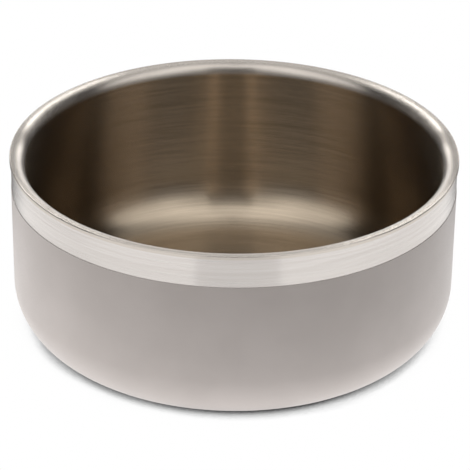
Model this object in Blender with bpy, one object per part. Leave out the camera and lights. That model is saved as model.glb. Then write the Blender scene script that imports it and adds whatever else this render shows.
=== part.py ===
"""Double-walled steel feeding bowl for a dog.

A drawn inner bowl hangs by its rolled rim from a drawn outer shell. A powder coat covers the shell
below a bare band, a pressed plate closes the shell underneath, and a soft ring carries the bowl.
Lengths are in metres, +Z is up, and the origin is on the axis, at the level that the bowl stands on.
"""

import math

import bmesh
import bpy
from mathutils import Matrix, Vector

# Inner bowl
RIM_DIAMETER = 0.2000
INNER_DEPTH = 0.0815
BOWL_SHEET = 0.0010

# Rolled rim, from the inner wall outwards
RIM_ROLL = 0.0054
RIM_LAND = 0.0002
RIM_EDGE = 0.0010
RIM_LIP_HEIGHT = 0.0018

# Outer shell
SHELL_SHEET = 0.0008
LIP_OVERHANG = 0.0006
BOTTOM_RADIUS = 0.0250
FLANGE_WIDTH = 0.0024

# How much tighter the inner bowl turns at its floor than the shell does at its foot
CORNER_STEP = 0.0030

# Powder coat
BARE_BAND = 0.0150
COAT_THICKNESS = 0.00015
COAT_MARGIN = 0.0005

# Base plate
PLATE_SHEET = 0.0008
LAP_WIDTH = 0.0020
PAN_DEPTH = 0.0013
PLATE_BEND = 0.0008
BASE_GAP = 0.0013

# Anti-slip ring
RING_WIDTH = 0.0090
RING_STAND = 0.0021
RING_EDGE = 0.0008

# Clearances: seated pieces, and a coat on what it covers
SEAT_GAP = 0.0003
BOND_GAP = 0.00005

# Facets: steps round the axis, and how far a chord may leave its arc
TURN_STEPS = 64
CHORD_ERROR = 0.0001
SMOOTH_ANGLE = math.radians(30)
WELD_DISTANCE = 0.000001

# Radii that follow from the sizes above
RIM_RADIUS = RIM_DIAMETER / 2
WALL_RADIUS = RIM_RADIUS - RIM_EDGE - RIM_LAND - RIM_ROLL
FLOOR_FILLET = BOTTOM_RADIUS - CORNER_STEP
SHELL_RADIUS = RIM_RADIUS - LIP_OVERHANG
OPENING_RADIUS = SHELL_RADIUS - BOTTOM_RADIUS - FLANGE_WIDTH
PLATE_RADIUS = OPENING_RADIUS + LAP_WIDTH
RING_OUTER = OPENING_RADIUS - SEAT_GAP
RING_INNER = RING_OUTER - RING_WIDTH
PAN_TOP_RADIUS = RING_INNER - SEAT_GAP
PAN_RADIUS = PAN_TOP_RADIUS - PAN_DEPTH

# Heights that follow, from the floor up
FLANGE_HEIGHT = RING_STAND + COAT_THICKNESS + BOND_GAP
PLATE_HEIGHT = FLANGE_HEIGHT + SHELL_SHEET + SEAT_GAP
PAN_HEIGHT = PLATE_HEIGHT - PAN_DEPTH
RING_TOP = PLATE_HEIGHT - SEAT_GAP
FLOOR_HEIGHT = PLATE_HEIGHT + PLATE_SHEET + BASE_GAP + BOWL_SHEET
RIM_HEIGHT = FLOOR_HEIGHT + INNER_DEPTH
SHELL_TOP = RIM_HEIGHT - RIM_LIP_HEIGHT - SEAT_GAP
BAND_EDGE_HEIGHT = RIM_HEIGHT - BARE_BAND


def clear_scene():
    for item in list(bpy.data.objects):
        bpy.data.objects.remove(item)


def finish(name, colour, roughness, metallic):
    """A plain surface finish."""
    material = bpy.data.materials.new(name)
    material.use_nodes = True
    shader = material.node_tree.nodes["Principled BSDF"]
    shader.inputs["Base Color"].default_value = (*colour, 1)
    shader.inputs["Roughness"].default_value = roughness
    shader.inputs["Metallic"].default_value = metallic
    return material


def left_of(direction):
    return Vector((-direction.y, direction.x))


def bend(corner, arriving, leaving, radius, shift):
    """Points round one bend, on the line that runs shift to the left of the path."""
    turn = math.atan2(arriving.cross(leaving), arriving.dot(leaving))
    side = math.copysign(1, turn)
    normals = left_of(arriving) + left_of(leaving)
    shifted_corner = corner + normals * shift / (1 + arriving.dot(leaving))
    shifted_radius = radius - side * shift
    if shifted_radius < WELD_DISTANCE:
        return [shifted_corner]
    start = shifted_corner - arriving * shifted_radius * math.tan(abs(turn) / 2)
    centre = start + left_of(arriving) * side * shifted_radius
    chord_angle = 2 * math.acos(1 - CHORD_ERROR / radius)
    steps = max(2, math.ceil(abs(turn) / chord_angle))
    turns = [Matrix.Rotation(turn * step / steps, 2) for step in range(steps + 1)]
    return [centre + rotation @ (start - centre) for rotation in turns]


def rounded_path(corners, shift=0.0):
    """A path of straight runs with round bends, moved sideways by shift.

    A corner is (radius from the axis, height, bend radius), and a shift to the left is positive.
    """
    places = [Vector(corner[:2]) for corner in corners]
    runs = [(after - before).normalized() for before, after in zip(places, places[1:])]
    points = [places[0] + left_of(runs[0]) * shift]
    for index, corner in enumerate(corners[1:-1]):
        points += bend(places[index + 1], runs[index], runs[index + 1], corner[2], shift)
    points.append(places[-1] + left_of(runs[-1]) * shift)
    return points


def sheet(corners, first_shift, second_shift):
    """The outline of a sheet whose two faces run beside the same path."""
    return rounded_path(corners, first_shift) + rounded_path(corners, second_shift)[::-1]


def revolve(name, outline, material):
    """A named piece, turned round Z from an outline of (radius, height) points."""
    shape = bmesh.new()
    corners = [shape.verts.new((point.x, 0, point.y)) for point in outline]
    edges = []
    for before, after in zip(corners, corners[1:] + corners[:1]):
        on_axis = max(before.co.x, after.co.x) < WELD_DISTANCE
        if not on_axis:
            edges.append(shape.edges.new((before, after)))
    bmesh.ops.spin(
        shape,
        geom=corners + edges,
        axis=(0, 0, 1),
        cent=(0, 0, 0),
        angle=math.tau,
        steps=TURN_STEPS,
        use_merge=True,
    )
    bmesh.ops.remove_doubles(shape, verts=shape.verts, dist=WELD_DISTANCE)
    bmesh.ops.recalc_face_normals(shape, faces=shape.faces)
    mesh = bpy.data.meshes.new(name)
    shape.to_mesh(mesh)
    shape.free()
    mesh.shade_smooth()
    mesh.set_sharp_from_angle(angle=SMOOTH_ANGLE)
    mesh.materials.append(material)
    piece = bpy.data.objects.new(name, mesh)
    bpy.context.scene.collection.objects.link(piece)
    return piece


def shell_path(top):
    """The outside of the shell, from a height down the wall and in along the flange."""
    return [
        (SHELL_RADIUS, top),
        (SHELL_RADIUS, FLANGE_HEIGHT, BOTTOM_RADIUS),
        (OPENING_RADIUS, FLANGE_HEIGHT),
    ]


def make_inner_bowl(steel):
    # Along the floor, up the wall, over the rim and down to the edge of the lip
    food_side = [
        (0, FLOOR_HEIGHT),
        (WALL_RADIUS, FLOOR_HEIGHT, FLOOR_FILLET),
        (WALL_RADIUS, RIM_HEIGHT, RIM_ROLL),
        (RIM_RADIUS, RIM_HEIGHT, RIM_EDGE),
        (RIM_RADIUS, RIM_HEIGHT - RIM_LIP_HEIGHT),
    ]
    return revolve("inner_bowl", sheet(food_side, 0, -BOWL_SHEET), steel)


def make_outer_shell(steel):
    return revolve("outer_shell", sheet(shell_path(SHELL_TOP), 0, -SHELL_SHEET), steel)


def make_powder_coat(coat):
    # The coat follows the shell, and stops short of the opening underneath
    path = shell_path(BAND_EDGE_HEIGHT)
    path[-1] = (OPENING_RADIUS + COAT_MARGIN, FLANGE_HEIGHT)
    return revolve("powder_coat", sheet(path, BOND_GAP + COAT_THICKNESS, BOND_GAP), coat)


def make_base_plate(steel):
    # A shallow pan in the middle, a raised border lapped on the shell's flange
    underside = [
        (0, PAN_HEIGHT),
        (PAN_RADIUS, PAN_HEIGHT, PLATE_BEND),
        (PAN_TOP_RADIUS, PLATE_HEIGHT, PLATE_BEND),
        (PLATE_RADIUS, PLATE_HEIGHT),
    ]
    return revolve("base_plate", sheet(underside, 0, PLATE_SHEET), steel)


def make_anti_slip_ring(rubber):
    # A flat band with rounded lower edges, held between the flange and the pan
    section = [
        (RING_OUTER, RING_TOP),
        (RING_OUTER, 0, RING_EDGE),
        (RING_INNER, 0, RING_EDGE),
        (RING_INNER, RING_TOP),
    ]
    return revolve("anti_slip_ring", rounded_path(section), rubber)


def main():
    clear_scene()
    make_inner_bowl(finish("bowl_steel", (0.60, 0.56, 0.52), 0.30, 1.0))
    make_outer_shell(finish("shell_steel", (0.60, 0.57, 0.54), 0.35, 1.0))
    make_powder_coat(finish("grey_coat", (0.39, 0.35, 0.33), 0.45, 0.0))
    make_base_plate(finish("plate_steel", (0.58, 0.56, 0.54), 0.40, 1.0))
    make_anti_slip_ring(finish("ring_rubber", (0.03, 0.03, 0.03), 0.80, 0.0))
    print(f"rim {RIM_DIAMETER * 1000:.1f} mm across, {RIM_HEIGHT * 1000:.1f} mm high")


main()
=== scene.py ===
# %% [markdown]
# # A double-walled steel bowl for a dog
#
# The real bowl is two deep cups drawn from steel sheet. The inner cup holds the food and hangs by its
# rolled rim from the outer cup. A grey powder coat covers the outside below a bare band, and a pressed
# plate with a soft ring closes the bowl underneath. Nothing on it moves.
#
# Everything here is round, so one idea makes every piece: draw half of the section, then turn it about
# the axis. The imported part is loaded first, because every piece takes the place of one of its nodes.

import math

import bpy
from mathutils import Matrix, Vector


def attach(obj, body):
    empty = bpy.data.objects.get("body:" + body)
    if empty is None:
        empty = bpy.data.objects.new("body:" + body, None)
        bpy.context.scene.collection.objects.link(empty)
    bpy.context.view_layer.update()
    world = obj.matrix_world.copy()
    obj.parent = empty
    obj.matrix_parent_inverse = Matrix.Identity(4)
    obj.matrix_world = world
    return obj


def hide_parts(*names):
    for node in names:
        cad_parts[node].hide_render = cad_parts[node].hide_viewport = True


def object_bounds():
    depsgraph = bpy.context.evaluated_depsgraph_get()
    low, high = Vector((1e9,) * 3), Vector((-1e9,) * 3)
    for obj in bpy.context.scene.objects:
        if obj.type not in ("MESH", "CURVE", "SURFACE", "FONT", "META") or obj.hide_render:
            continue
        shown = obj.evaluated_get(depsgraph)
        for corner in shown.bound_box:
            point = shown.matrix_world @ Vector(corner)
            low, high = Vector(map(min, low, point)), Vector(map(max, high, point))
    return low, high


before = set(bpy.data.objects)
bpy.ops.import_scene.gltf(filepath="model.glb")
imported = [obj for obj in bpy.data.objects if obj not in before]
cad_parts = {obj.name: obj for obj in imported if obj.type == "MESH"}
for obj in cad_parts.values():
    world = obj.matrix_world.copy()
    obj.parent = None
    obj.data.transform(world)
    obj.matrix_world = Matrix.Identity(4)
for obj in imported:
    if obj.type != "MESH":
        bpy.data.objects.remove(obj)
cad_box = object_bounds()
print("nodes to dress:", sorted(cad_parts))

# %% [markdown]
# ## Small helpers for node trees
#
# Materials and Geometry Nodes are both graphs of boxes and wires. Writing `nodes.new` and `links.new`
# for every box hides the idea, so a few helpers do it. `place` adds a node, sets its options and feeds
# its inputs, by wire or by value. `calc` does the same for one step of arithmetic, `ramp_between` for a
# soft step and `mix` for a blend. `group_tree` starts a group with named inputs and outputs.

# %% Helpers that add nodes


def feed(tree, socket, value):
    """Wires an input, or sets it."""
    if isinstance(value, bpy.types.NodeSocket):
        tree.links.new(value, socket)
    else:
        socket.default_value = value


def place(tree, kind, feeds=None, **options):
    node = tree.nodes.new(kind)
    for option, value in options.items():
        setattr(node, option, value)
    for socket, value in (feeds or {}).items():
        feed(tree, node.inputs[socket], value)
    return node


def calc(tree, operation, first, second=None):
    node = place(tree, "ShaderNodeMath", {0: first}, operation=operation)
    if second is not None:
        feed(tree, node.inputs[1], second)
    return node.outputs[0]


print("helpers: feed, place, calc")

# %% Helpers that blend values and start groups


def ramp_between(tree, value, low, high, at_low=0.0, at_high=1.0):
    """Smooth change from one value to another while the input goes from low to high."""
    node = place(tree, "ShaderNodeMapRange", interpolation_type="SMOOTHSTEP")
    for socket, number in zip(node.inputs, (value, low, high, at_low, at_high)):
        feed(tree, socket, number)
    return node.outputs[0]


def mix(tree, kind, share, first, second):
    """A blend of two numbers (FLOAT) or two colours (RGBA)."""
    start, result = {"FLOAT": (2, 0), "RGBA": (6, 2)}[kind]
    node = place(tree, "ShaderNodeMix", data_type=kind)
    for socket, value in ((0, share), (start, first), (start + 1, second)):
        feed(tree, node.inputs[socket], value)
    return node.outputs[result]


def group_tree(name, kind, inputs, outputs):
    """An empty node group, with the sockets that feed it and that it feeds."""
    tree = bpy.data.node_groups.new(name, kind)
    for side, sockets in (("INPUT", inputs), ("OUTPUT", outputs)):
        for label, socket_kind in sockets.items():
            tree.interface.new_socket(label, in_out=side, socket_type=socket_kind)
    return tree, tree.nodes.new("NodeGroupInput").outputs, tree.nodes.new("NodeGroupOutput").inputs


print("helpers: ramp_between, mix, group_tree")

# %% [markdown]
# ## Brushing that runs round the bowl
#
# The steel is brushed while it spins, so its fine scratches run round the axis, on the walls as on the
# floor. A flat picture of scratches would have to be wrapped and would show a seam. Here the scratches
# are noise, read in coordinates that fit a turned piece: the direction from the axis as a point on a
# circle, which has no seam, and radius plus height, which changes all along the section. Noise that is
# stretched far round the bowl and packed close across it becomes lines. A wider noise gives streaks.

# %% Shader group: lines round the axis
AXIS_MARGIN = 0.0001
STREAK_SCALE = (0.6, 0.6, 0.45)

brushing, given, put_out = group_tree(
    "brushing_round_axis",
    "ShaderNodeTree",
    {"Position": "NodeSocketVector", "Line Pitch": "NodeSocketFloat", "Lines Round": "NodeSocketFloat"},
    {"Lines": "NodeSocketFloat", "Streaks": "NodeSocketFloat"},
)
axes = place(brushing, "ShaderNodeSeparateXYZ", {"Vector": given["Position"]}).outputs
squares = [calc(brushing, "MULTIPLY", axes[name], axes[name]) for name in "XY"]
radius = calc(brushing, "SQRT", calc(brushing, "ADD", *squares))
safe_radius = calc(brushing, "MAXIMUM", radius, AXIS_MARGIN)
on_piece = {}
for name in "XY":
    direction = calc(brushing, "DIVIDE", axes[name], safe_radius)
    on_piece[name] = calc(brushing, "MULTIPLY", direction, given["Lines Round"])
along_section = calc(brushing, "ADD", radius, axes["Z"])
on_piece["Z"] = calc(brushing, "DIVIDE", along_section, given["Line Pitch"])
line_place = place(brushing, "ShaderNodeCombineXYZ", on_piece).outputs[0]
streak_place = place(
    brushing, "ShaderNodeVectorMath", {0: line_place, 1: STREAK_SCALE}, operation="MULTIPLY"
).outputs[0]
lines = place(
    brushing,
    "ShaderNodeTexNoise",
    {"Vector": line_place, "Scale": 1.0, "Detail": 3.0, "Roughness": 0.65},
)
streaks = place(
    brushing,
    "ShaderNodeTexNoise",
    {"Vector": streak_place, "Scale": 1.0, "Detail": 2.0, "Roughness": 0.5},
)
feed(brushing, put_out["Lines"], lines.outputs[0])
feed(brushing, put_out["Streaks"], streaks.outputs[0])
print("group", brushing.name, "gives", [socket.name for socket in put_out if socket.name])

# %% [markdown]
# ## A finish made of two noises
#
# Steel, paint and rubber differ in their noises, and use them in the same way. A wide noise shifts the
# colour between two close tones. A fine noise changes the gloss a little and lifts the surface, through
# a bump, by a few hundredths of a millimetre at most. So one helper serves every finish of the bowl.

# %% Helpers that start and finish a material
NOISE_SPAN = (0.3, 0.7)


def start_material(name):
    """A new material, its tree, its shader and the place on the piece."""
    material = bpy.data.materials.new(name)
    material.use_nodes = True
    tree = material.node_tree
    position = place(tree, "ShaderNodeTexCoord").outputs["Object"]
    return material, tree, tree.nodes["Principled BSDF"], position


def two_noise_finish(tree, shader, wide, fine, tones, roughness, depth):
    """Colour between two tones from a wide noise, gloss and bump from a fine one."""
    dark, light = tones
    tone = ramp_between(tree, wide, *NOISE_SPAN)
    feed(tree, shader.inputs["Base Color"], mix(tree, "RGBA", tone, (*dark, 1), (*light, 1)))
    feed(tree, shader.inputs["Roughness"], ramp_between(tree, fine, *NOISE_SPAN, *roughness))
    bump = place(tree, "ShaderNodeBump", {"Height": fine, "Distance": depth})
    feed(tree, shader.inputs["Normal"], bump.outputs[0])


print("noise is used between", *NOISE_SPAN)

# %% [markdown]
# ## The steel
#
# Brushed steel is a slightly warm grey and shows mostly the room. Inside the bowl light bounces several
# times before it leaves, and each bounce takes a little more blue, so a warm grey turns brown there.
# Scratches that run round the bowl spread a reflection across them, up and down the wall. The shader's
# anisotropy does that, with a tangent that runs round the axis, turned by a quarter.

# %% Material: brushed steel
LINES_ROUND = 2.5
QUARTER_TURN = 0.25


def brushed_steel(name, tones, roughness, pitch, anisotropy, line_depth):
    """Steel brushed round the axis, between two tones and two roughness values."""
    material, tree, shader, position = start_material(name)
    brushed = place(
        tree,
        "ShaderNodeGroup",
        {"Position": position, "Line Pitch": pitch, "Lines Round": LINES_ROUND},
        node_tree=brushing,
    ).outputs
    two_noise_finish(tree, shader, brushed["Streaks"], brushed["Lines"], tones, roughness, line_depth)
    shader.inputs["Metallic"].default_value = 1.0
    shader.inputs["Anisotropic"].default_value = anisotropy
    shader.inputs["Anisotropic Rotation"].default_value = QUARTER_TURN
    round_axis = place(tree, "ShaderNodeTangent", direction_type="RADIAL", axis="Z")
    feed(tree, shader.inputs["Tangent"], round_axis.outputs[0])
    return material


# %% The three steels of the bowl
bowl_steel = brushed_steel(
    "bowl_steel",
    tones=((0.373, 0.311, 0.238), (0.406, 0.338, 0.259)),
    roughness=(0.21, 0.27),
    pitch=0.0006,
    anisotropy=1.0,
    line_depth=0.000003,
)
shell_steel = brushed_steel(
    "shell_steel",
    tones=((0.527, 0.494, 0.469), (0.563, 0.529, 0.504)),
    roughness=(0.24, 0.275),
    pitch=0.0006,
    anisotropy=1.0,
    line_depth=0.000003,
)
plate_steel = brushed_steel(
    "plate_steel",
    tones=((0.50, 0.47, 0.44), (0.56, 0.53, 0.50)),
    roughness=(0.30, 0.42),
    pitch=0.0009,
    anisotropy=0.6,
    line_depth=0.000006,
)
print("steels:", bowl_steel.name, shell_steel.name, plate_steel.name)

# %% [markdown]
# ## A polished rim
#
# The rim is rolled over after the brushing, and the roller leaves it more even than the wall. Its colour
# is also made much lighter than the wall's, which is painted light, so that the rim shows as bright as
# the room would light it. It is the same piece of steel, so it stays one material: a mask by height mixes
# the two finishes.

# %% Polish the rim and paint light on it


def polish_and_paint_light_above(material, height, blend, colour, roughness):
    """Mixes an even finish in above a height, with a lighter colour that is painted light."""
    tree = material.node_tree
    shader = tree.nodes["Principled BSDF"]
    position = place(tree, "ShaderNodeTexCoord").outputs["Object"]
    up = place(tree, "ShaderNodeSeparateXYZ", {"Vector": position}).outputs["Z"]
    mask = ramp_between(tree, up, height, height + blend)
    brushed_colour = shader.inputs["Base Color"].links[0].from_socket
    brushed_gloss = shader.inputs["Roughness"].links[0].from_socket
    feed(tree, shader.inputs["Base Color"], mix(tree, "RGBA", mask, brushed_colour, (*colour, 1)))
    feed(tree, shader.inputs["Roughness"], mix(tree, "FLOAT", mask, brushed_gloss, roughness))


# The lighter rim colour is painted light: it makes the rim as bright as the room would light it.
polish_and_paint_light_above(bowl_steel, height=0.0822, blend=0.0012, colour=(0.515, 0.473, 0.428), roughness=0.27)
print("rim polished on", bowl_steel.name)

# %% [markdown]
# ## The powder coat and the rubber
#
# The coat is a warm grey paint, sprayed as dry powder and melted in an oven. It keeps a fine, even
# orange-peel texture and very faint clouds of tone. Two noises give that: a small one for the bump and
# the gloss, and a large one that shifts the colour by a few percent. Moulded rubber has the same two
# scales, so both use one group.

# %% Shader group: fine grain and soft clouds
grain_group, given, put_out = group_tree(
    "grain_and_clouds",
    "ShaderNodeTree",
    {"Position": "NodeSocketVector", "Grain Size": "NodeSocketFloat", "Cloud Size": "NodeSocketFloat"},
    {"Grain": "NodeSocketFloat", "Clouds": "NodeSocketFloat"},
)
for label, size, detail in (("Grain", "Grain Size", 2.0), ("Clouds", "Cloud Size", 3.0)):
    scale = calc(grain_group, "DIVIDE", 1.0, given[size])
    noise = place(
        grain_group,
        "ShaderNodeTexNoise",
        {"Vector": given["Position"], "Scale": scale, "Detail": detail},
    )
    feed(grain_group, put_out[label], noise.outputs[0])
print("group", grain_group.name, "gives", [socket.name for socket in put_out if socket.name])

# %% Materials: powder coat and rubber


def grained_paint(name, tones, roughness, grain_size, cloud_size, grain_depth):
    """A paint or rubber with fine grain, between two tones and two roughness values."""
    material, tree, shader, position = start_material(name)
    grained = place(
        tree,
        "ShaderNodeGroup",
        {"Position": position, "Grain Size": grain_size, "Cloud Size": cloud_size},
        node_tree=grain_group,
    ).outputs
    two_noise_finish(tree, shader, grained["Clouds"], grained["Grain"], tones, roughness, grain_depth)
    return material


grey_coat = grained_paint(
    "grey_coat",
    tones=((0.375, 0.335, 0.315), (0.405, 0.362, 0.342)),
    roughness=(0.38, 0.48),
    grain_size=0.0006,
    cloud_size=0.03,
    grain_depth=0.00001,
)
ring_rubber = grained_paint(
    "ring_rubber",
    tones=((0.022, 0.022, 0.022), (0.035, 0.035, 0.034)),
    roughness=(0.72, 0.88),
    grain_size=0.0004,
    cloud_size=0.008,
    grain_depth=0.00002,
)
print("paints:", grey_coat.name, ring_rubber.name)

# %% [markdown]
# ## A lathe in Geometry Nodes
#
# Every piece is a section turned about the axis. Spin or the Screw modifier could do it, but a node tree
# keeps the number of segments as a named input and can be opened and changed later. The tree lays out a
# grid with one row for each point of the section and one column for each step round the axis, then moves
# every grid point to its place. Welding closes the seam and the poles.

# %% Geometry Nodes: the lathe's grid
LATHE, given, put_out = group_tree(
    "lathe",
    "GeometryNodeTree",
    {
        "Section": "NodeSocketGeometry",
        "Segments": "NodeSocketInt",
        "Closed": "NodeSocketInt",
        "Weld Distance": "NodeSocketFloat",
        "Finish": "NodeSocketMaterial",
    },
    {"Piece": "NodeSocketGeometry"},
)
LATHE.is_modifier = True


def whole(operation, first, second):
    """One step of arithmetic on whole numbers."""
    return place(LATHE, "FunctionNodeIntegerMath", {0: first, 1: second}, operation=operation).outputs[0]


size = place(LATHE, "GeometryNodeAttributeDomainSize", {"Geometry": given["Section"]})
points = size.outputs["Point Count"]
rows = whole("ADD", points, given["Closed"])
columns = whole("ADD", given["Segments"], 1)
grid = place(LATHE, "GeometryNodeMeshGrid", {"Vertices X": rows, "Vertices Y": columns})
index = place(LATHE, "GeometryNodeInputIndex").outputs[0]
row = whole("MODULO", whole("DIVIDE_FLOOR", index, columns), points)
column = whole("MODULO", index, columns)
print("lathe inputs:", [socket.name for socket in given if socket.name])

# %% Geometry Nodes: turn the grid, weld it and give it its finish
position = place(LATHE, "GeometryNodeInputPosition").outputs[0]
read = place(
    LATHE,
    "GeometryNodeSampleIndex",
    data_type="FLOAT_VECTOR",
    feeds={"Geometry": given["Section"], "Value": position, "Index": row},
)
on_section = place(LATHE, "ShaderNodeSeparateXYZ", {"Vector": read.outputs[0]}).outputs
part_turn = calc(LATHE, "DIVIDE", column, given["Segments"])
angle = calc(LATHE, "MULTIPLY", part_turn, math.tau)
turned = place(
    LATHE,
    "ShaderNodeCombineXYZ",
    {
        "X": calc(LATHE, "MULTIPLY", on_section["X"], calc(LATHE, "COSINE", angle)),
        "Y": calc(LATHE, "MULTIPLY", on_section["X"], calc(LATHE, "SINE", angle)),
        "Z": on_section["Z"],
    },
).outputs[0]
steps = (
    ("GeometryNodeSetPosition", {"Position": turned}),
    ("GeometryNodeMergeByDistance", {"Distance": given["Weld Distance"]}),
    ("GeometryNodeSetShadeSmooth", {}),
    ("GeometryNodeRealizeInstances", {}),
    ("GeometryNodeSetMaterial", {"Material": given["Finish"]}),
)
shape = grid.outputs["Mesh"]
for kind, feeds in steps:
    shape = place(LATHE, kind, {"Geometry": shape, **feeds}).outputs[0]
feed(LATHE, put_out["Piece"], shape)
print("lathe steps:", [kind.removeprefix("GeometryNode") for kind, _ in steps])

# %% [markdown]
# ## Sections with round bends
#
# A section is a list of corners, as on a workshop drawing: radius from the axis, height, and the radius
# of the bend there, in millimetres. Each bend becomes an arc. Points are added close to both ends of
# every straight run, because smooth shading blends the normals of neighbouring faces, and a long flat
# face beside an arc would look dished without them.

# %% Helpers that draw runs and bends
RUN_STEP = 9.0
SUPPORT = 0.25
ARC_STEP = math.radians(3.5)
LEAST_ARC_STEPS = 3
STRAIGHT_ON = math.radians(0.1)


def straight(start, end):
    """Points inside a straight run, with one close to each end."""
    length = (end - start).length
    if length < 4 * SUPPORT:
        return []
    inner = length - 2 * SUPPORT
    count = max(1, math.ceil(inner / RUN_STEP))
    return [start.lerp(end, (SUPPORT + inner * step / count) / length) for step in range(count + 1)]


def arc(before, corner, after, radius):
    """Points round one bend, from the end of one run to the start of the next."""
    arriving = (corner - before).normalized()
    leaving = (after - corner).normalized()
    turn = math.atan2(arriving.cross(leaving), arriving.dot(leaving))
    if radius == 0 or abs(turn) < STRAIGHT_ON:
        return [corner]
    start = corner - arriving * radius * math.tan(abs(turn) / 2)
    centre = start + Vector((-arriving.y, arriving.x)) * math.copysign(radius, turn)
    steps = max(LEAST_ARC_STEPS, math.ceil(abs(turn) / ARC_STEP))
    turns = [Matrix.Rotation(turn * step / steps, 2) for step in range(steps + 1)]
    return [centre + rotation @ (start - centre) for rotation in turns]


print(f"bends in steps of {math.degrees(ARC_STEP):.1f} degrees")

# %% Helper that joins them into a section


def rounded(corners, closed):
    """All points of a section, from corners of (radius, height, bend)."""
    spots = [Vector(corner[:2]) for corner in corners]
    bends = []
    for number, (spot, corner) in enumerate(zip(spots, corners)):
        at_end = not closed and number in (0, len(spots) - 1)
        if at_end:
            bends.append([spot])
        else:
            after = spots[(number + 1) % len(spots)]
            bends.append(arc(spots[number - 1], spot, after, corner[2]))
    points = []
    for number, bend in enumerate(bends):
        points += bend
        if closed or number + 1 < len(bends):
            points += straight(bend[-1], bends[(number + 1) % len(bends)][0])
    return points


one_bend = rounded([(0, 0, 0), (10, 0, 2), (10, 10, 0)], closed=False)
print("two runs of 10 mm with a bend of 2 mm take", len(one_bend), "points")

# %% [markdown]
# ## Turning a section into a piece
#
# The section's points become a small mesh without faces, and the lathe turns it. The result is then kept
# as a plain mesh, because a finished piece should not depend on a live modifier. The volume is printed as
# a test: a mesh that is inside out has a negative one.

# %% Helpers that turn a section and report the piece
MM = 0.001
ML = 0.000001
SEGMENTS = 192
WELD_DISTANCE = 0.000002
SHARP_ANGLE = math.radians(40)


def report_piece(piece):
    mesh = piece.data
    mesh.calc_loop_triangles()
    volume = 0.0
    for triangle in mesh.loop_triangles:
        first, second, third = (mesh.vertices[corner].co for corner in triangle.vertices)
        volume += first.dot(second.cross(third)) / 6
    across = 2 * max(spot.co.x for spot in mesh.vertices)
    print(
        f"{piece.name}: {len(mesh.loop_triangles)} triangles, {volume / ML:.2f} ml of material,"
        f" {across / MM:.1f} mm across"
    )


def turn_piece(name, corners, closed, finish):
    """A finished piece: the section turned by the lathe, as a plain mesh."""
    section = bpy.data.meshes.new(name + "_section")
    section.from_pydata([(spot.x * MM, 0, spot.y * MM) for spot in rounded(corners, closed)], [], [])
    piece = bpy.data.objects.new(name, section)
    bpy.context.scene.collection.objects.link(piece)
    lathe = piece.modifiers.new("lathe", "NODES")
    lathe.node_group = LATHE
    settings = {
        "Segments": SEGMENTS,
        "Closed": int(closed),
        "Weld Distance": WELD_DISTANCE,
        "Finish": finish,
    }
    for item in LATHE.interface.items_tree:
        if item.in_out == "INPUT" and item.name in settings:
            lathe[item.identifier] = settings[item.name]
    graph = bpy.context.evaluated_depsgraph_get()
    mesh = bpy.data.meshes.new_from_object(piece.evaluated_get(graph))
    piece.modifiers.clear()
    piece.data = mesh
    mesh.name = name
    mesh.set_sharp_from_angle(angle=SHARP_ANGLE)
    bpy.data.meshes.remove(section)
    report_piece(piece)
    return piece


# %% [markdown]
# ## The inner bowl
#
# One sheet of steel makes the floor, the wall and the rim. The press leaves a large round fillet between
# floor and wall, and the rim is rolled outwards and turned down into a short lip. The section follows
# the food side from the axis to the lip, and comes back along the hidden side one sheet away, so each
# bend there is tighter or wider by the sheet. The rim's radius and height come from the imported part.

# %% Piece: inner bowl
RIM_RADIUS = round(cad_box[1][0] / MM, 2)
RIM_TOP = round(cad_box[1][2] / MM, 2)
RIM_WIDTH = 6.6
RIM_ROLL = 5.4
RIM_EDGE = 0.6
LIP_HEIGHT = 1.8
LIP_ROUND = 0.15
LIP_ROUND_INSIDE = 0.1
DEPTH = 81.5
FLOOR_FILLET = 22.0
BOWL_SHEET = 1.0

wall = RIM_RADIUS - RIM_WIDTH
floor_top = RIM_TOP - DEPTH
lip_bottom = RIM_TOP - LIP_HEIGHT
bowl_section = [
    (0, floor_top, 0),
    (wall, floor_top, FLOOR_FILLET),
    (wall, RIM_TOP, RIM_ROLL),
    (RIM_RADIUS, RIM_TOP, RIM_EDGE),
    (RIM_RADIUS, lip_bottom, LIP_ROUND),
    (RIM_RADIUS - BOWL_SHEET, lip_bottom, LIP_ROUND_INSIDE),
    (RIM_RADIUS - BOWL_SHEET, RIM_TOP - BOWL_SHEET, 0),
    (wall + BOWL_SHEET, RIM_TOP - BOWL_SHEET, RIM_ROLL - BOWL_SHEET),
    (wall + BOWL_SHEET, floor_top - BOWL_SHEET, FLOOR_FILLET + BOWL_SHEET),
    (0, floor_top - BOWL_SHEET, 0),
]
inner_bowl = turn_piece("brushed_inner_bowl", bowl_section, False, bowl_steel)

# %% [markdown]
# ## The outer shell
#
# The shell is the second cup. Its bare top shows as the bright band under the rim. Its foot turns in
# with a large radius and ends in a narrow flat flange, on which the plate underneath is lapped. A narrow
# seam under the lip stands for the weld.

# %% Piece: outer shell
LIP_OVERHANG = 0.6
LIP_SEAM = 0.1
SHELL_SHEET = 0.8
SHELL_ROUND = 0.2
FOOT_RADIUS = 25.0
FLANGE_WIDTH = 2.4
FLANGE_BOTTOM = 2.3

shell_radius = RIM_RADIUS - LIP_OVERHANG
shell_top = lip_bottom - LIP_SEAM
opening = shell_radius - FOOT_RADIUS - FLANGE_WIDTH
shell_section = [
    (shell_radius, shell_top, SHELL_ROUND),
    (shell_radius - SHELL_SHEET, shell_top, SHELL_ROUND),
    (shell_radius - SHELL_SHEET, FLANGE_BOTTOM + SHELL_SHEET, FOOT_RADIUS - SHELL_SHEET),
    (opening, FLANGE_BOTTOM + SHELL_SHEET, SHELL_ROUND),
    (opening, FLANGE_BOTTOM, SHELL_ROUND),
    (shell_radius, FLANGE_BOTTOM, FOOT_RADIUS),
]
outer_shell = turn_piece("brushed_outer_shell", shell_section, True, shell_steel)

# %% [markdown]
# ## The coat on the shell
#
# The coat is much thinner than the sheet, but it is a layer with an edge of its own, and light catches
# that edge. So it is a closed skin that follows the shell from the band to the flange.

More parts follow.
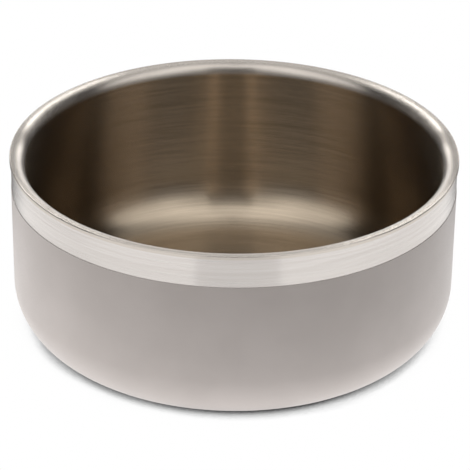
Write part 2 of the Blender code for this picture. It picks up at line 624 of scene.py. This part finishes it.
# %% Piece: powder coat
BARE_BAND = 15.0
COAT_GAP = 0.05
COAT_THICKNESS = 0.15
COAT_MARGIN = 0.5
COAT_ROUND = 0.1

coat_top = RIM_TOP - BARE_BAND
coat_end = opening + COAT_MARGIN
outside = COAT_GAP + COAT_THICKNESS
coat_section = [
    (shell_radius + outside, coat_top, COAT_ROUND),
    (shell_radius + COAT_GAP, coat_top, 0),
    (shell_radius + COAT_GAP, FLANGE_BOTTOM - COAT_GAP, FOOT_RADIUS + COAT_GAP),
    (coat_end, FLANGE_BOTTOM - COAT_GAP, 0),
    (coat_end, FLANGE_BOTTOM - outside, COAT_ROUND),
    (shell_radius + outside, FLANGE_BOTTOM - outside, FOOT_RADIUS + outside),
]
powder_coat = turn_piece("grey_powder_coat", coat_section, True, grey_coat)

# %% [markdown]
# ## The base plate
#
# A pressed disc closes the space between the two cups. Its middle is a shallow pan, so that the plate is
# stiff, and its raised border lies on the shell's flange. The ring has its groove between the two, so
# the ring's width is needed here already.

# %% Piece: base plate
SEAT_GAP = 0.3
LAP_WIDTH = 2.0
PLATE_SHEET = 0.8
PLATE_ROUND = 0.2
PAN_DEPTH = 1.3
BEND_OUTSIDE = 0.8
BEND_INSIDE = 0.2
RING_WIDTH = 9.0

plate_radius = opening + LAP_WIDTH
plate_bottom = FLANGE_BOTTOM + SHELL_SHEET + SEAT_GAP
ring_outer = opening - SEAT_GAP
ring_inner = ring_outer - RING_WIDTH
pan_bottom = plate_bottom - PAN_DEPTH
pan_top_radius = ring_inner - SEAT_GAP
pan_radius = pan_top_radius - PAN_DEPTH
slope = math.atan2(PAN_DEPTH, pan_top_radius - pan_radius)
step_in = PLATE_SHEET * math.tan(slope / 2)
plate_section = [
    (0, pan_bottom, 0),
    (pan_radius, pan_bottom, BEND_OUTSIDE),
    (pan_top_radius, plate_bottom, BEND_INSIDE),
    (plate_radius, plate_bottom, PLATE_ROUND),
    (plate_radius, plate_bottom + PLATE_SHEET, PLATE_ROUND),
    (pan_top_radius - step_in, plate_bottom + PLATE_SHEET, BEND_OUTSIDE),
    (pan_radius - step_in, pan_bottom + PLATE_SHEET, BEND_INSIDE),
    (0, pan_bottom + PLATE_SHEET, 0),
]
base_plate = turn_piece("pressed_base_plate", plate_section, False, plate_steel)

# %% [markdown]
# ## The anti-slip ring
#
# The bowl stands on a soft flat ring, set in the groove between the flange and the pan. It keeps the
# bowl from sliding and keeps the coat off the floor. The thin dark line under the bowl is a shadow
# painted on the floor, darkest where this gap is narrow.

# %% Piece: anti-slip ring
RING_EDGE = 0.8
RING_ROUND = 0.1

ring_top = plate_bottom - SEAT_GAP
ring_section = [
    (ring_outer, ring_top, RING_ROUND),
    (ring_inner, ring_top, RING_ROUND),
    (ring_inner, 0, RING_EDGE),
    (ring_outer, 0, RING_EDGE),
]
anti_slip_ring = turn_piece("soft_foot_ring", ring_section, True, ring_rubber)

# %% [markdown]
# ## Each piece takes the place of a node
#
# Each piece rides on the part's one body and hides the plain node that it replaces. The slot name
# listed beside each piece is not used here.

# %% Ride and replace
dressed = {
    "inner_bowl": (inner_bowl, "bowl_steel"),
    "outer_shell": (outer_shell, "shell_steel"),
    "powder_coat": (powder_coat, "grey_coat"),
    "base_plate": (base_plate, "plate_steel"),
    "anti_slip_ring": (anti_slip_ring, "ring_rubber"),
}
for node, (piece, slot) in dressed.items():
    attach(piece, "root")
    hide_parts(node)
    print(piece.name, "replaces", node)

# %% [markdown]
# ## What the steel mirrors
#
# A shiny bowl shows the room more than itself, so the room is drawn as carefully as the bowl. It was
# read back from the reflections: two white panels in front, with a dark slot between them where the
# camera stands, light overhead that is brightest towards the front, a pale wall behind that is dimmer in
# its middle and lighter high up, and dark sides. Boards and lamps could make such a room. Here it is
# arithmetic on the direction of a ray: how far round from the front, and how far up.

# %% World: the direction of a ray
SLOT_AIM = math.radians(2)

world = bpy.data.worlds.new("white_tent")
bpy.context.scene.world = world
world.use_nodes = True
world.cycles.sampling_method = "NONE"
sky = world.node_tree


def aimed_axes(tree, vector):
    """X, Y and Z of a direction or a place, turned so that the slot is straight in front."""
    turn = {"Vector": vector, "Angle": -SLOT_AIM}
    aimed = place(tree, "ShaderNodeVectorRotate", turn, rotation_type="Z_AXIS")
    return place(tree, "ShaderNodeSeparateXYZ", {"Vector": aimed.outputs[0]}).outputs


def angle_from_front(tree, axes):
    """Angle round the axis, from the side that the camera is on."""
    sideways = calc(tree, "ABSOLUTE", axes["X"])
    return calc(tree, "ARCTAN2", sideways, calc(tree, "MULTIPLY", axes["Y"], -1.0))


way = aimed_axes(sky, place(sky, "ShaderNodeTexCoord").outputs["Generated"])
from_front = angle_from_front(sky, way)
print(f"the slot is {math.degrees(SLOT_AIM):.0f} degrees right of the camera")

# %% Helpers that light a patch of the room


def beyond(low, high, at_low=0.0, at_high=1.0):
    """Changes between two angles from the front, in degrees."""
    return ramp_between(sky, from_front, math.radians(low), math.radians(high), at_low, at_high)


def above(low, high):
    """Goes from 0 to 1 between two heights, in degrees over the horizon."""
    return ramp_between(sky, way["Z"], math.sin(math.radians(low)), math.sin(math.radians(high)))


def patch(level, around=(None, None), up=(None, None)):
    """A patch of light, with a start and an end round the room and up it.

    Each edge is a pair of degrees between which the light fades in or out, or None.
    """
    for (start, end), ramp in ((around, beyond), (up, above)):
        if start:
            level = calc(sky, "MULTIPLY", level, ramp(*start))
        if end:
            level = calc(sky, "MULTIPLY", level, calc(sky, "SUBTRACT", 1.0, ramp(*end)))
    return level


def largest(first, *others):
    for other in others:
        first = calc(sky, "MAXIMUM", first, other)
    return first


print("helpers: beyond, above, patch, largest")

# %% [markdown]
# ## The lights of the room
#
# Each light is a patch with soft edges, and where patches overlap, the brightest counts. Two bright
# strips behind the bowl make the two light lines beside the dark bar in the back wall, and two low
# patches under them light the ends of the rim. A faint fill close to the floor keeps the rim from
# turning black when the bowl is seen from low down.

# %% World: panels, walls and strips
PANEL_INNER = 0.8
PANEL_OUTER = 1.55
ABOVE_FRONT = 2.3
ABOVE_BACK = 0.4
OVERHEAD_FADE = (-0.42, -0.06)
BACK_WALL = 0.95
BACK_CENTRE = 0.4
BACK_HIGH = 1.6
BACK_LOW = 1.8
BACK_SIDES = 3.6
STRIP_LEVEL = 9.0
LOW_FILL = 0.18
BEHIND = (130, 140)
WALL_TOP = (58, 66)
LOW_TOP = (16, 24)

panel_level = beyond(14, 42, PANEL_INNER, PANEL_OUTER)
overhead_level = ramp_between(sky, way["Y"], *OVERHEAD_FADE, ABOVE_FRONT, ABOVE_BACK)
wall_level = beyond(160, 168, BACK_WALL, BACK_CENTRE)
room_lights = {
    "panels": patch(panel_level, around=((13, 15), (72, 88)), up=((18, 22), None)),
    "overhead": patch(overhead_level, up=((49, 55), None)),
    "back wall": patch(wall_level, around=(BEHIND, None), up=((18, 22), WALL_TOP)),
    "back, high": patch(BACK_HIGH, around=(BEHIND, None), up=((38, 44), WALL_TOP)),
    "back, low": patch(BACK_LOW, around=((145, 151), None), up=(None, LOW_TOP)),
    "back, low sides": patch(BACK_SIDES, around=((151, 155), (161, 164)), up=((9, 14), LOW_TOP)),
    "strips": patch(STRIP_LEVEL, around=((153.5, 155.5), (162, 164)), up=((28, 32), (50, 55))),
    "low fill": patch(LOW_FILL, up=(None, LOW_TOP)),
}
room = largest(*room_lights.values())
print("lights of the room:", ", ".join(room_lights))

# %% [markdown]
# ## What lights the paint
#
# Paint gathers light from everywhere, so for rays that leave it the room is one soft slope: bright on
# the left, dim in front, fair on the right. The camera sees neither room, only white.

# %% World: soft light and white background
SOFT_LEFT = 2.35
SOFT_MIDDLE = 0.08
SOFT_RIGHT = 1.3
SLOPE_END = 0.95
SLOPE_START = 0.1


def by_ray(tree, others, glossy, camera):
    """One level for rays from the camera, one for reflections and one for all other rays."""
    rays = place(tree, "ShaderNodeLightPath").outputs
    level = mix(tree, "FLOAT", rays["Is Glossy Ray"], others, glossy)
    return mix(tree, "FLOAT", rays["Is Camera Ray"], level, camera)


soft_left = ramp_between(sky, way["X"], -SLOPE_END, -SLOPE_START, SOFT_LEFT, SOFT_MIDDLE)
soft_right = ramp_between(sky, way["X"], SLOPE_START, SLOPE_END, SOFT_MIDDLE, SOFT_RIGHT)
soft_light = largest(soft_left, soft_right)
background = sky.nodes["Background"]
feed(sky, background.inputs["Color"], (1, 1, 1, 1))
feed(sky, background.inputs["Strength"], by_ray(sky, soft_light, room, camera=1.0))
print("soft light from", SOFT_LEFT, "on the left to", SOFT_RIGHT, "on the right")

# %% [markdown]
# ## The floor
#
# The floor is white paper that glows: its glow is brightest near the bowl and sends light up the coat,
# like a lamp under it. In the bare band it shows a slightly darker patch in front, where the camera
# stands, and grows dim behind the bowl. The camera sees it as white, except close to the foot, where a
# shadow is painted on it from how much of the sky towards the front the bowl hides.

# %% A sheet of white paper
FLOOR_HALF = 3.0

floor_mesh = bpy.data.meshes.new("white_floor")
corner_signs = [(-1, -1), (1, -1), (1, 1), (-1, 1)]
floor_corners = [(x * FLOOR_HALF, y * FLOOR_HALF, 0) for x, y in corner_signs]
floor_mesh.from_pydata(floor_corners, [], [(0, 1, 2, 3)])
floor = bpy.data.objects.new("white_floor", floor_mesh)
bpy.context.scene.collection.objects.link(floor)
white_paper = bpy.data.materials.new("white_paper")
white_paper.use_nodes = True
paper = white_paper.node_tree
paper.nodes.remove(paper.nodes["Principled BSDF"])
floor_mesh.materials.append(white_paper)
print("floor", 2 * FLOOR_HALF, "m wide")

# %% What the floor sends to the coat and shows in the band
GLOW_FADE = (0.11, 0.24)
GLOW_NEAR = 1.95
GLOW_FAR = 0.3
FOOT_EDGE = (0.078, 0.108)
PATCH_EDGE = (math.radians(16.5), math.radians(17.5))
PATCH_LEVEL = 0.84
DIM_EDGE = (math.radians(108), math.radians(142))
MIRROR_FRONT = 1.45
MIRROR_BACK = 0.15

spot = place(paper, "ShaderNodeTexCoord").outputs["Object"]
from_bowl = place(paper, "ShaderNodeVectorMath", {0: spot}, operation="LENGTH").outputs["Value"]
round_floor = angle_from_front(paper, aimed_axes(paper, spot))
glow = ramp_between(paper, from_bowl, *GLOW_FADE, GLOW_NEAR, GLOW_FAR)
glow = calc(paper, "MULTIPLY", glow, ramp_between(paper, from_bowl, *FOOT_EDGE))
dark_patch = ramp_between(paper, round_floor, *PATCH_EDGE, PATCH_LEVEL, 1.0)
dim_behind = ramp_between(paper, round_floor, *DIM_EDGE, MIRROR_FRONT, MIRROR_BACK)
in_mirror = calc(paper, "MULTIPLY", dark_patch, dim_behind)
print("glow", GLOW_NEAR, "near the bowl and", GLOW_FAR, "far from it")

# %% The painted shadow at the foot
SHADE_NORMAL_TILT = math.radians(28)
SHADE_REACH = 0.025
SHADE_SPAN = (0.57, 0.70)
SHADE_DARKEST = 0.02
CONTACT_EDGE = (0.078, 0.100)
SHADE_OUTSIDE = 0.85

# The shadow is painted: the Ambient Occlusion node measures how much the bowl hides round a normal tilted
# towards the front, and that sets how bright the floor shows to the camera.
shade_normal_axes = {"X": 0.0, "Y": -math.cos(SHADE_NORMAL_TILT), "Z": math.sin(SHADE_NORMAL_TILT)}
shade_normal = place(paper, "ShaderNodeCombineXYZ", shade_normal_axes).outputs[0]
open_sky = place(
    paper, "ShaderNodeAmbientOcclusion", {"Distance": SHADE_REACH, "Normal": shade_normal}, samples=16
)
painted_shadow = ramp_between(paper, open_sky.outputs["AO"], *SHADE_SPAN, SHADE_DARKEST, 1.0)
painted_shadow = calc(paper, "MAXIMUM", painted_shadow, ramp_between(paper, from_bowl, *CONTACT_EDGE, 0.0, SHADE_OUTSIDE))
# The camera sees the painted shadow; reflections see the mirrored levels; all other rays get the glow.
page = place(paper, "ShaderNodeEmission", {"Strength": by_ray(paper, glow, in_mirror, camera=painted_shadow)})
feed(paper, paper.nodes["Material Output"].inputs["Surface"], page.outputs[0])
print("shadow reaches", SHADE_REACH, "m")

# %% [markdown]
# ## The camera
#
# The camera stands in front, about 28 degrees above the bowl, with a long lens, so the rim's ellipse is
# almost as it would be in a parallel view.

# %% Camera
CAMERA_PLACE = Vector((0.0, -1.002115, 0.576250))
CAMERA_TARGET = Vector((0.000729, 0.0, 0.045064))
CAMERA_ROLL = math.radians(0.683)
LENS = 191.49

lens = bpy.data.cameras.new("camera")
lens.lens = LENS
lens.sensor_width = 36.0
lens.clip_start = 0.01
camera = bpy.data.objects.new("camera", lens)
bpy.context.scene.collection.objects.link(camera)
look = (CAMERA_TARGET - CAMERA_PLACE).to_track_quat("-Z", "Y").to_matrix().to_4x4()
camera.matrix_world = Matrix.Translation(CAMERA_PLACE) @ look @ Matrix.Rotation(CAMERA_ROLL, 4, "Z")
bpy.context.scene.camera = camera
bpy.context.scene.view_settings.view_transform = "Standard"
print(f"camera {(CAMERA_PLACE - CAMERA_TARGET).length:.3f} m from the bowl, lens {LENS} mm")

# %% [markdown]
# ## The size of the imported part
#
# The visual pieces are meant to stay in the box of the imported part, so that box is printed.

# %% The imported part's box
print("cad box", [list(corner) for corner in cad_box])
